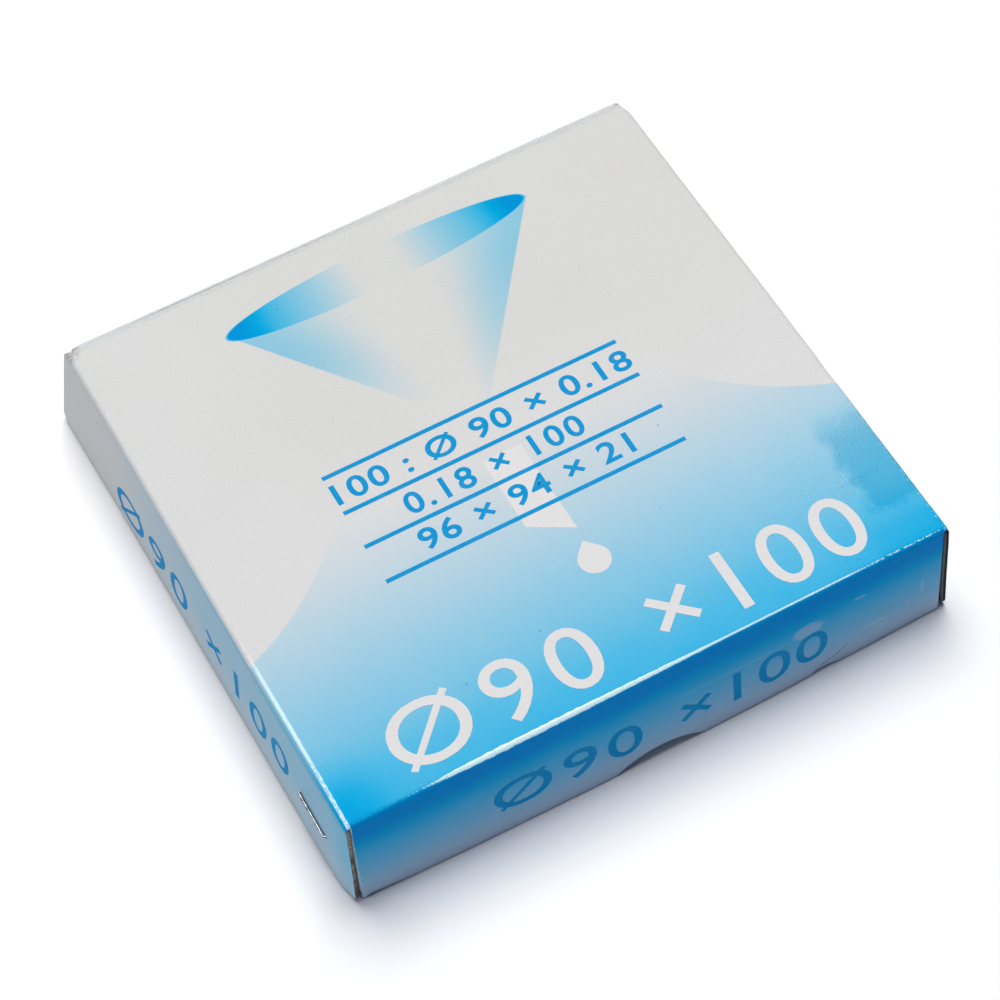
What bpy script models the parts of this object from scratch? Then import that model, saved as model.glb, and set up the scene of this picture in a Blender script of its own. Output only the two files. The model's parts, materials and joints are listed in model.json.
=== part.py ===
"""Hinged board carton holding one hundred 90 mm filter paper circles.

The carton is folded from one die-cut blank: a tray, and a lid that hinges on the crease along
the top of the tray's rear wall. Folded-in tabs at the corners are held by wire staples.
Frame: +Z up, front wall at -Y, origin under the tray at the centre of its floor.
"""
import math

import bmesh
import bpy
from mathutils import Vector

MM = 0.001

# Driving dimensions, in millimetres.
CIRCLE_DIAMETER = 90.0
SHEET_COUNT = 100
SHEET_PITCH = 0.188        # thickness that one sheet takes up in a loose stack
SHEET_THICKNESS = 0.158
SINGLE_SHEETS = 20         # sheets on top of the stack that are modelled one by one
BUNDLE_SHEETS = 10         # sheets in each bundle below them

BOARD = 0.5                # thickness of the carton board
LID_WIDTH = 96.0
BOX_DEPTH = 94.3
BOX_HEIGHT = 20.8
LID_RISE = 0.3             # gap between the table and the lid's lower edges
PLY_GAP = 0.15             # air between a wall and the tab stapled inside it
SLIP = 0.3                 # running clearance between the lid and the tray
STAPLE_ROOM = 0.85         # clearance between the lid's tabs and the tray, for the staples

SIDE_LEAN_FRONT = 1.35     # how far the lid's side walls lean out at their lower edge
SIDE_LEAN_REAR = 2.1
FRONT_LEAN = 1.1           # how far the lid's front wall widens at its lower edge
SIDE_FLARE = 4.2           # how far the free rear ends run past the crease, at the bottom
CORNER_RELIEF = 2.4        # diagonal cut at each end of the crease
HEEL_CUT = 1.3             # small cut at the lower rear corner of each side wall

NOTCH_WIDTH = 14.2         # thumb notch in the lid's front wall
NOTCH_DEPTH = 2.3

TAB_LENGTH = 20.0
TAB_MARGIN = 1.4           # distance from a tab to the folds above and below it
TAB_TAPER = 1.6

STAPLE_WIRE = 0.5          # wire diameter
STAPLE_PLAY = 0.06         # air between the wire and the board
STAPLE_HOLE = 1.0
CLINCH = 3.0               # length of each bent-over end
LID_STAPLE_LENGTH = 8.0
LID_STAPLE_Y = -36.0
LID_STAPLE_Z = 8.4
TRAY_STAPLE_LENGTH = 8.0
TRAY_STAPLE_INSET = 4.0    # distance from the tray's corner to its staples
TRAY_STAPLE_Z = 10.5

CIRCLE_SEGMENTS = 48
NOTCH_SEGMENTS = 48
SKIN = 0.01                # a thickened sheet stands this far outside the sheet as drawn

# Sizes that follow from them.
LID_HALF = LID_WIDTH / 2
REAR = BOX_DEPTH / 2
FRONT = -REAR
LID_FRONT_HALF = LID_HALF - BOARD - PLY_GAP
LID_TAB_INNER = LID_FRONT_HALF - BOARD
TRAY_HALF = LID_TAB_INNER - STAPLE_ROOM
TRAY_FRONT = FRONT + BOARD + SLIP
TRAY_FRONT_HALF = TRAY_HALF - BOARD - PLY_GAP
TRAY_TAB_INNER = TRAY_FRONT_HALF - BOARD
TRAY_TOP = BOX_HEIGHT - BOARD - SLIP
TRAY_REAR_TOP = BOX_HEIGHT - BOARD - 0.1
STACK_Y = (TRAY_FRONT + REAR) / 2
STACK_BASE = BOARD + 0.08


def make_material(name, color, roughness, metallic=0.0):
    material = bpy.data.materials.new(name)
    material.use_nodes = True
    shader = material.node_tree.nodes["Principled BSDF"]
    shader.inputs["Base Color"].default_value = (*color, 1.0)
    shader.inputs["Roughness"].default_value = roughness
    shader.inputs["Metallic"].default_value = metallic
    return material


def make_collection(name):
    collection = bpy.data.collections.new(name)
    bpy.context.scene.collection.children.link(collection)
    return collection


def add_object(name, data, collection, material=None, parent=None):
    made = bpy.data.objects.new(name, data)
    collection.objects.link(made)
    if material:
        data.materials.append(material)
    if parent:
        made.parent = parent
        made.matrix_parent_inverse = parent.matrix_world.inverted()
    return made


def add_empty(name, collection, place):
    empty = bpy.data.objects.new(name, None)
    empty.location = Vector(place) * MM
    empty.empty_display_size = 10 * MM
    collection.objects.link(empty)
    bpy.context.view_layer.update()
    return empty


# Folded board: a flat outline whose edges are extruded into walls and tabs.

def nearest_vert(bm, point):
    return min(bm.verts, key=lambda vert: (vert.co - point).length_squared)


def fold_out(bm, edge_ends, new_ends):
    """Extrude the edge between two points to the line between two new points."""
    ends = [nearest_vert(bm, Vector(point)) for point in edge_ends]
    edge = bm.edges.get(ends)
    made = bmesh.ops.extrude_edge_only(bm, edges=[edge])
    for vert in [item for item in made["geom"] if isinstance(item, bmesh.types.BMVert)]:
        first = (vert.co - ends[0].co).length < (vert.co - ends[1].co).length
        vert.co = Vector(new_ends[0] if first else new_ends[1])


def fold_wall(bm, levels):
    """Extrude a wall through a list of levels, each one a pair of end points."""
    for near, far in zip(levels, levels[1:]):
        fold_out(bm, near, far)


def board_object(name, bm, outward, collection, material, parent=None):
    """Give a folded sheet its board thickness, inside the surface that was drawn."""
    bmesh.ops.recalc_face_normals(bm, faces=bm.faces)
    bm.faces.ensure_lookup_table()
    if bm.faces[0].normal.dot(Vector(outward)) < 0:
        bmesh.ops.reverse_faces(bm, faces=bm.faces)
    bmesh.ops.scale(bm, vec=(MM, MM, MM), verts=bm.verts)
    mesh = bpy.data.meshes.new(name)
    bm.to_mesh(mesh)
    bm.free()
    made = add_object(name, mesh, collection, material, parent)
    solidify = made.modifiers.new("board", "SOLIDIFY")
    solidify.solidify_mode = "NON_MANIFOLD"
    solidify.nonmanifold_thickness_mode = "CONSTRAINTS"
    solidify.nonmanifold_merge_threshold = 0.00001
    solidify.thickness = BOARD * MM
    solidify.offset = -1.0
    return made


def cut(target, cutter):
    boolean = target.modifiers.new(cutter.name, "BOOLEAN")
    boolean.operation = "DIFFERENCE"
    boolean.object = cutter


def box_cutter(name, low, high, collection):
    bm = bmesh.new()
    bmesh.ops.create_cube(bm, size=1.0)
    size = Vector(high) - Vector(low)
    bmesh.ops.scale(bm, vec=size * MM, verts=bm.verts)
    mesh = bpy.data.meshes.new(name)
    bm.to_mesh(mesh)
    bm.free()
    cutter = add_object(name, mesh, collection)
    cutter.location = (Vector(high) + Vector(low)) / 2 * MM
    cutter.hide_render = True
    cutter.display_type = "WIRE"
    return cutter


def side_wall_x(y, z):
    """Distance of a lid side wall's outer face from the middle, at a height and depth."""
    down = (BOX_HEIGHT - z) / (BOX_HEIGHT - LID_RISE)
    along = (y - FRONT) / (REAR + SIDE_FLARE - FRONT)
    lean = SIDE_LEAN_FRONT + (SIDE_LEAN_REAR - SIDE_LEAN_FRONT) * along
    return LID_HALF + lean * down


def front_wall_x(z):
    """Half width of the lid's front wall at a height."""
    down = (BOX_HEIGHT - z) / (BOX_HEIGHT - LID_RISE)
    return LID_FRONT_HALF + FRONT_LEAN * down


def side_wall_rear(z):
    """Depth of a lid side wall's free rear end at a height."""
    down = (BOX_HEIGHT - z) / (BOX_HEIGHT - LID_RISE)
    return REAR + SIDE_FLARE * down


def make_lid(collection, cutters, material, hinge):
    top = BOX_HEIGHT - SKIN
    corner = LID_HALF - CORNER_RELIEF
    outline = [
        (-LID_HALF, FRONT, top), (-LID_FRONT_HALF, FRONT, top),
        (LID_FRONT_HALF, FRONT, top), (LID_HALF, FRONT, top),
        (LID_HALF, REAR - CORNER_RELIEF, top), (corner, REAR, top),
        (-corner, REAR, top), (-LID_HALF, REAR - CORNER_RELIEF, top),
    ]
    bm = bmesh.new()
    bm.faces.new([bm.verts.new(point) for point in outline])

    heights = [top, top - TAB_MARGIN, LID_RISE + TAB_MARGIN, LID_RISE]
    fold_wall(bm, [((-front_wall_x(z), FRONT, z), (front_wall_x(z), FRONT, z)) for z in heights])
    for side in (-1, 1):
        upper, lower = heights[1], heights[2]
        back = FRONT + TAB_LENGTH
        fold_out(
            bm,
            ((side * front_wall_x(upper), FRONT, upper), (side * front_wall_x(lower), FRONT, lower)),
            ((side * front_wall_x(upper), back, upper - TAB_TAPER),
             (side * front_wall_x(lower), back, lower + TAB_TAPER)),
        )
        heel = LID_RISE + HEEL_CUT
        relief = top - CORNER_RELIEF
        rear_ends = [
            (top, REAR - CORNER_RELIEF),
            (relief, side_wall_rear(relief)),
            (heel, side_wall_rear(heel)),
            (LID_RISE, side_wall_rear(heel) - HEEL_CUT),
        ]
        fold_wall(bm, [
            ((side * side_wall_x(FRONT, z), FRONT, z), (side * side_wall_x(rear, z), rear, z))
            for z, rear in rear_ends
        ])
    lid = board_object("lid", bm, (0, 0, 1), collection, material, hinge)

    radius = NOTCH_WIDTH ** 2 / (8 * NOTCH_DEPTH) + NOTCH_DEPTH / 2
    bpy.ops.mesh.primitive_cylinder_add(
        vertices=NOTCH_SEGMENTS, radius=radius * MM, depth=6 * BOARD * MM,
        location=(0, FRONT * MM, (LID_RISE + NOTCH_DEPTH - radius) * MM),
        rotation=(math.pi / 2, 0, 0))
    notch = bpy.context.object
    notch.name = "thumb_notch_cutter"
    notch.hide_render = True
    notch.display_type = "WIRE"
    for holder in list(notch.users_collection):
        holder.objects.unlink(notch)
    cutters.objects.link(notch)
    cut(lid, notch)

    half = STAPLE_HOLE / 2
    for side, side_name in ((-1, "left"), (1, "right")):
        for end, end_name in ((-1, "front"), (1, "rear")):
            y = LID_STAPLE_Y + end * LID_STAPLE_LENGTH / 2
            near, far = sorted((side * TRAY_HALF, side * (LID_HALF + SIDE_LEAN_REAR + BOARD)))
            hole = box_cutter(
                f"lid_staple_hole_{side_name}_{end_name}",
                (near, y - half, LID_STAPLE_Z - half), (far, y + half, LID_STAPLE_Z + half), cutters)
            cut(lid, hole)


def make_tray(collection, cutters, material):
    floor = SKIN
    outline = [
        (-TRAY_HALF, TRAY_FRONT, floor), (-TRAY_FRONT_HALF, TRAY_FRONT, floor),
        (TRAY_FRONT_HALF, TRAY_FRONT, floor), (TRAY_HALF, TRAY_FRONT, floor),
        (TRAY_HALF, REAR, floor), (TRAY_FRONT_HALF, REAR, floor),
        (-TRAY_FRONT_HALF, REAR, floor), (-TRAY_HALF, REAR, floor),
    ]
    bm = bmesh.new()
    bm.faces.new([bm.verts.new(point) for point in outline])
    for wall_y, inward, top in ((TRAY_FRONT, 1, TRAY_TOP), (REAR, -1, TRAY_REAR_TOP)):
        lower, upper = TAB_MARGIN, TRAY_TOP - TAB_MARGIN
        fold_wall(bm, [
            ((-TRAY_FRONT_HALF, wall_y, z), (TRAY_FRONT_HALF, wall_y, z))
            for z in (floor, lower, upper, top)
        ])
        for side in (-1, 1):
            x = side * TRAY_FRONT_HALF
            end = wall_y + inward * TAB_LENGTH
            fold_out(
                bm, ((x, wall_y, lower), (x, wall_y, upper)),
                ((x, end, lower + TAB_TAPER), (x, end, upper - TAB_TAPER)))
    for side in (-1, 1):
        x = side * TRAY_HALF
        fold_wall(bm, [((x, TRAY_FRONT, z), (x, REAR, z)) for z in (floor, TRAY_TOP)])
    tray = board_object("tray", bm, (0, 0, -1), collection, material)

    half = STAPLE_HOLE / 2
    for side, y, name in tray_corners():
        for end, end_name in ((-1, "low"), (1, "high")):
            z = TRAY_STAPLE_Z + end * TRAY_STAPLE_LENGTH / 2
            near, far = sorted((side * (TRAY_TAB_INNER - BOARD), side * (TRAY_HALF + BOARD)))
            hole = box_cutter(
                f"tray_staple_hole_{name}_{end_name}",
                (near, y - half, z - half), (far, y + half, z + half), cutters)
            cut(tray, hole)


def tray_corners():
    """Side, depth and name of each of the tray's stapled corners."""
    rows = ((TRAY_FRONT + TRAY_STAPLE_INSET, "front"), (REAR - TRAY_STAPLE_INSET, "rear"))
    return [
        (side, y, f"{row}_{side_name}")
        for y, row in rows for side, side_name in ((-1, "left"), (1, "right"))
    ]


# Wire staples: a crown outside the wall, two legs through it, and ends clinched inside.

def make_staple(name, middle, along, inward, length, reach, collection, material, parent=None):
    """Bend one staple; middle is the centre of its crown, reach the distance to the clinch."""
    middle, along, inward = Vector(middle), Vector(along), Vector(inward)
    bend = STAPLE_WIRE
    points = []
    for end in (-1, 1):
        crown_end = middle + along * (end * length / 2)
        inner_end = crown_end + inward * reach
        leg = [
            crown_end - along * (end * bend), crown_end + inward * bend,
            inner_end - inward * bend, inner_end - along * (end * bend),
            inner_end - along * (end * CLINCH),
        ]
        points = leg[::-1] if end < 0 else points + leg
    curve = bpy.data.curves.new(name, "CURVE")
    curve.dimensions = "3D"
    curve.bevel_depth = STAPLE_WIRE / 2 * MM
    curve.bevel_resolution = 2
    curve.use_fill_caps = True
    spline = curve.splines.new("POLY")
    spline.points.add(len(points) - 1)
    for place, point in zip(spline.points, points):
        place.co = (*(point * MM), 1.0)
    return add_object(name, curve, collection, material, parent)


def make_staples(collection, material, hinge):
    out = STAPLE_PLAY + STAPLE_WIRE / 2
    for side, name in ((-1, "left"), (1, "right")):
        crown = side_wall_x(LID_STAPLE_Y + LID_STAPLE_LENGTH / 2, LID_STAPLE_Z) + out
        clinch = front_wall_x(LID_STAPLE_Z) - BOARD - out
        make_staple(
            f"lid_staple_{name}", (side * crown, LID_STAPLE_Y, LID_STAPLE_Z), (0, 1, 0),
            (-side, 0, 0), LID_STAPLE_LENGTH, crown - clinch, collection, material, hinge)
    for side, y, name in tray_corners():
        crown = TRAY_HALF + out
        clinch = TRAY_TAB_INNER - out
        make_staple(
            f"tray_staple_{name}", (side * crown, y, TRAY_STAPLE_Z), (0, 0, 1),
            (-side, 0, 0), TRAY_STAPLE_LENGTH, crown - clinch, collection, material)


# Paper: single circles on top, bundles of ten below them.

def make_circle(name, first, count, collection, material, parent):
    """One closed disc for the sheets from first (0 is the lowest) to first + count - 1."""
    low = STACK_BASE + first * SHEET_PITCH
    high = STACK_BASE + (first + count - 1) * SHEET_PITCH + SHEET_THICKNESS
    bm = bmesh.new()
    bmesh.ops.create_cone(
        bm, cap_ends=True, segments=CIRCLE_SEGMENTS, radius1=CIRCLE_DIAMETER / 2 * MM,
        radius2=CIRCLE_DIAMETER / 2 * MM, depth=(high - low) * MM)
    mesh = bpy.data.meshes.new(name)
    bm.to_mesh(mesh)
    bm.free()
    mesh.shade_smooth()
    mesh.set_sharp_from_angle(angle=math.radians(40))
    disc = add_object(name, mesh, collection, material)
    disc.parent = parent
    disc.location = (0, 0, ((low + high) / 2 - STACK_BASE) * MM)
    return disc


def make_stack(collection, material, parent):
    bundled = SHEET_COUNT - SINGLE_SHEETS
    for first in range(0, bundled, BUNDLE_SHEETS):
        name = f"filter_circles_{first + 1:03d}_to_{first + BUNDLE_SHEETS:03d}"
        make_circle(name, first, BUNDLE_SHEETS, collection, material, parent)
    for first in range(bundled, SHEET_COUNT):
        make_circle(f"filter_circle_{first + 1:03d}", first, 1, collection, material, parent)


def main():
    for existing in list(bpy.data.objects):
        bpy.data.objects.remove(existing, do_unlink=True)

    carton = make_collection("filter_paper_carton")
    cutters = make_collection("cutters")
    printed_board = make_material("printed_board", (0.55, 0.78, 0.87), 0.35)
    grey_board = make_material("grey_board", (0.58, 0.56, 0.52), 0.85)
    staple_wire = make_material("staple_wire", (0.62, 0.63, 0.65), 0.3, 1.0)
    filter_paper = make_material("filter_paper", (0.86, 0.86, 0.84), 0.95)

    lid_hinge = add_empty("lid_hinge", carton, (0, REAR, BOX_HEIGHT))
    paper_stack = add_empty("paper_stack", carton, (0, STACK_Y, STACK_BASE))
    make_tray(carton, cutters, grey_board)
    make_lid(carton, cutters, printed_board, lid_hinge)
    make_staples(carton, staple_wire, lid_hinge)
    make_stack(carton, filter_paper, paper_stack)


main()
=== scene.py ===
"""Looks of a hinged board carton of filter paper circles.

The lid is one printed board blank. It is drawn flat, in millimetres from the middle of the lid's
top (u to the right, v to the rear), and then folded, so that its print, its glyphs and its walls
all go through the same fold. The plain tray, the paper circles and the staples follow.
"""

import json
import math
import random

import bmesh
import bpy
from mathutils import Matrix, Vector, noise


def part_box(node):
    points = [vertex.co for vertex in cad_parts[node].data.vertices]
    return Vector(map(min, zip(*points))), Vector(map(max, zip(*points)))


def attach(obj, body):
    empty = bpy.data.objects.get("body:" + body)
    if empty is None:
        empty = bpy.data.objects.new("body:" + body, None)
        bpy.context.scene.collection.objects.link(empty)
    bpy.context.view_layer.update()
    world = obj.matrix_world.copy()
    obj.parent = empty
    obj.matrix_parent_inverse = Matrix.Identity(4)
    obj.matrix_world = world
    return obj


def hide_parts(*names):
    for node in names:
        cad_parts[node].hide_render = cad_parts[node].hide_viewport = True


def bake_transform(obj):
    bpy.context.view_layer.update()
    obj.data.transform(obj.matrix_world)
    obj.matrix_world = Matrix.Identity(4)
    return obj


MM = 0.001
QUARTER = math.pi / 2
SHARP = math.radians(50)

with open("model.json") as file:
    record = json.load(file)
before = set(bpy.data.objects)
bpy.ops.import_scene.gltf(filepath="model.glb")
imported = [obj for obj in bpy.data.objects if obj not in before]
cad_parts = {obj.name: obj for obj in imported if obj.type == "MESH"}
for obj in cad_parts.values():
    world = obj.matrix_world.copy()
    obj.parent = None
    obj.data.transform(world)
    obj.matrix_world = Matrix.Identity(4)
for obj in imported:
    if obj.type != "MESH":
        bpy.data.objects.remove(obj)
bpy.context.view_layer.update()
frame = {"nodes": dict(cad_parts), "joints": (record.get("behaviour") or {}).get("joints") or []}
random.seed(90)

# Sizes from the frame, in millimetres.
hinge = next(joint for joint in frame["joints"] if joint["name"] == "lid_hinge")
REAR = hinge["pos_m"][1] / MM
HEIGHT = hinge["pos_m"][2] / MM
FRONT = -REAR
tray_low, tray_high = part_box("tray")
TRAY_HALF = tray_high.x / MM
TRAY_FRONT = tray_low.y / MM
LID_RISE = 0.3  # how far the lid's walls end above the table
TRAY_TOP = HEIGHT - 0.8

# The board and its folds.
BOARD = 0.5
FOLD = 0.95  # outer radius of the lid's folds
CREASE = 0.8  # outer radius of the hinge crease
CREASE_START = REAR - CREASE
LID_HALF = 48.0
LID_FRONT_HALF = 47.35  # the front wall stands between the side walls
TAB_LENGTH = 20.0
TAB_MARGIN = 1.4
TAB_TAPER = 1.6
TAB_FOLD = 0.55  # outer radius of the tabs' folds
PLY_GAP = 0.15
SIDE_LEAN_FRONT = 1.35  # how far the side walls lean out at their lower edge
SIDE_LEAN_REAR = 2.1
CORNER_HOLD = 0.7  # how far the folded corners hold the side walls back from leaning
CORNER_REACH = 2.4
FRONT_LEAN = 0.2  # how far the front wall widens at its lower edge
TAB_LEAN = 1.1  # how far its tabs lean out with the side walls
SIDE_FLARE = 4.2  # how far the free rear ends run past the crease, at the bottom
CORNER_RELIEF = 1.5
HEEL_CUT = 1.3
NOTCH_WIDTH = 14.2
NOTCH_DEPTH = 2.3
FRONT_BULGE = 0.9  # how far the front wall bows out in the middle, at its lower edge
WALL_DROP = HEIGHT - LID_RISE
REAR_SHAPING = 20.0  # the blank's rear outline is reached between here and its edge
NOTCH_SHAPING = 6.0
TOE_RADIUS = 1.2  # lower front corners of the side walls
TOE_SHAPING = 3.0
TRAY_FOLD = 0.8
TRAY_END_HALF = TRAY_HALF - BOARD - PLY_GAP

# The print. Places are blank coordinates, or heights above the table on the walls.
SHAPE_LIFT = 0.004  # white shapes lie just above the board, and figures above those
TEXT_LIFT = 0.02
INK_FILM = 0.010
GRID = 1.0  # figures are cut along this grid to follow the sheet
RULE_ROWS = (5.9, -1.1, -7.8, -14.6)
RULE_LEFT, RULE_RIGHT = -25.1, 23.8
RULE_WIDTH = 0.7
TOP_LINES = (  # text, left, right, baseline, letter spacing
    ("100 : Ø 90 × 0.18", -25.0, 24.0, 0.4, 1.1),
    ("0.18 × 100", -16.8, 12.3, -6.4, 1.15),
    ("96 × 94 × 21", -17.8, 16.8, -13.0, 1.1))
TOP_LINE_HEIGHT = 3.9
TOP_LINE_BOLD = 0.018
HEADLINE = (  # side, text, left, right, letter spacing
    ("left", "Ø90", -37.2, -4.6, 1.2), ("right", "×100", 4.2, 38.0, 1.1))
HEADLINE_BASE = -44.3
HEADLINE_HEIGHT = 10.5
FRONT_LINE = (  # side, text, (u, height) of both ends, letter spacing
    ("left", "Ø90", ((-26.2, 5.6), (-2.6, 4.3)), 1.15),
    ("right", "×100", ((3.6, 3.9), (27.9, 4.5)), 1.05))
FRONT_LINE_HEIGHT = 7.0
SIDE_LINE = (("first", "Ø90", (30.7, 5.5)), ("second", "×100", (-0.9, -28.4)))
SIDE_LINE_START = 30.7
SIDE_LINE_BASE = 1.8  # height where the line starts; it rises from there
SIDE_LINE_RISE = 0.07
SIDE_LINE_HEIGHT = 6.4
SIDE_LINE_SPACING = 1.15
STEM = ((-3.6, -16.5), (2.7, -20.3), (2.7, -3.2), (-3.6, -3.2))
DROP_CENTRE, DROP_RADIUS, DROP_TIP = (2.2, -26.2), 2.45, (2.2, -22.6)
DROP_STEPS = 32
HILL_CENTRE = (63.0, 24.0)
HILL_RADIUS = 44.0
MOUTH_CENTRE = (-0.3, 36.9)
MOUTH_SIZE = (25.7, 3.8)
MOUTH_TILT = 0.024
CONE_SLOPE = 0.738
CONE_END_LEFT, CONE_END_RIGHT = 8.0, 1.5

# How much blue there is along the top, the front wall, the sides and the cone's mouth.
TOP_RUN, SIDE_RUN, MOUTH_RUN = 50.0, 84.0, 26.0
SIDE_START = 36.0
TOP_DENSITY = (
    (0.0, 0.0), (0.08, 0.018), (0.16, 0.072), (0.24, 0.117), (0.32, 0.171), (0.4, 0.225), (0.48, 0.285),
    (0.56, 0.355), (0.64, 0.42), (0.72, 0.5), (0.8, 0.6), (0.88, 0.68), (1.0, 0.78))
FRONT_DENSITY = (
    (0.0, 0.09), (0.1, 0.15), (0.2, 0.26), (0.385, 0.46), (0.58, 0.65), (0.77, 0.9), (0.86, 1.0),
    (1.0, 1.0))
SIDE_DENSITY = ((0.0, 0.0), (0.06, 0.01), (0.24, 0.12), (0.43, 0.22), (0.8, 0.28), (0.93, 0.32), (1.0, 0.46))
MOUTH_DENSITY = ((0.0, 0.0), (0.15, 0.02), (0.31, 0.19), (0.6, 0.55), (0.77, 0.86), (0.88, 1.0))

# Wear, and the worn fold lines, whose colour also carries a painted highlight. Dents are a place, a size and
# a depth.
REAR_LEFT_CRUSH = ((-47.6, 45.8), (1.7, 1.545), 0.4)
REAR_RIGHT_CRUSH = ((48.6, 46.5), (1.3, 1.3), 0.7)
SIDE_FOLD_DENT = ((47.2, -14.6), (1.6, 1.8), 0.16)
CRUMPLE = (27.6, (1.9, 1.6), 0.22)  # on the front wall's lower edge
FRONT_FOLD_LINE = FRONT + FOLD - 0.50
SIDE_FOLD_LINE = LID_HALF - FOLD + 0.42
FRONT_WEAR_HIGHLIGHT_WIDTH = (  # half width of the worn line with its painted highlight, from u = -50 to 50
    (0.0, 0.0), (0.11, 0.0), (0.15, 0.12), (0.19, 0.32), (0.26, 0.46), (0.38, 0.44), (0.52, 0.30),
    (0.62, 0.17), (0.80, 0.13), (0.95, 0.12), (1.0, 0.0))
BIG_SCUFF = ((24.6, 12.7), (2.4, 1.5))  # place (u, height) and size on the front wall
SMALL_SCUFFS = (
    ((36.0, 5.6), (2.4, 0.35)), ((33.2, 14.5), (1.0, 0.3)), ((44.0, 9.0), (0.25, 1.6)),
    ((41.5, 6.2), (0.3, 0.9)), ((36.5, 4.3), (1.1, 0.25)))
GRAIN_SCALE = 4.4
PEEL, PEEL_DEPTH = (0.75, 3.0), 0.035  # the varnish's soft unevenness: noise and depth

# Staples, paper and camera.
WIRE = 0.5
WIRE_BEND = 0.42
CLINCH = 2.8
STAPLE_TILT = 0.3
SHEET = 0.15
SHEET_SLIP = 0.16  # how far a sheet may lie off the stack's axis
SHEET_WAVE = 0.16
SHEET_WAVE_SCALE = 0.045
RINGS = (9.0, 18.0, 27.0, 35.0, 41.0, 44.4, 45.0)
DISC_SEGMENTS = 96
CAMERA_TURN = (-23.30, 55.53, -6.09)  # azimuth, elevation and roll
CAMERA_DISTANCE = 472.2
CAMERA_OFFSET = (-0.30, 2.35)
CAMERA_LENS = 112.4


# ---- colours

WHITE_BOARD = 0.87          # share of a display colour that the lit board gives back


def srgb(red, green, blue):
    """Linear colour from 0-255 display values."""
    def linear(value):
        value /= 255
        return value / 12.92 if value <= 0.04045 else ((value + 0.055) / 1.055) ** 2.4
    return linear(red), linear(green), linear(blue)


def printed(red, green, blue):
    return tuple(WHITE_BOARD * value for value in srgb(red, green, blue))


def scaled(color, share):
    return tuple(min(1.0, value * share) for value in color)


DENSITY_COLORS = (
    (0.0, printed(222, 222, 221)), (0.225, printed(172, 210, 227)), (0.35, printed(145, 203, 228)),
    (0.58, printed(94, 192, 229)), (0.65, printed(79, 189, 231)), (0.84, printed(4, 175, 228)),
    (1.0, printed(0, 150, 222)))
# Colours of the worn fold lines: wear plus a painted highlight, brighter than the bare board.
WORN_BLUE_AND_HIGHLIGHT = (0.66, 0.90, 0.97)
WORN_WHITE_AND_HIGHLIGHT = (0.80, 0.82, 0.83)
AGED_TINT = (0.957, 0.957, 0.925)


# ---- node helpers

class Number:
    """A node's output that takes part in plain arithmetic, which adds more nodes."""

    def __init__(self, nodes, socket):
        self.nodes, self.socket = nodes, socket

    def __add__(self, other):
        return self.nodes.math("ADD", self, other)

    def __radd__(self, other):
        return self.nodes.math("ADD", other, self)

    def __sub__(self, other):
        return self.nodes.math("SUBTRACT", self, other)

    def __rsub__(self, other):
        return self.nodes.math("SUBTRACT", other, self)

    def __mul__(self, other):
        return self.nodes.math("MULTIPLY", self, other)

    def __truediv__(self, other):
        return self.nodes.math("DIVIDE", self, other)

    def __abs__(self):
        return self.nodes.math("ABSOLUTE", self)


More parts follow.
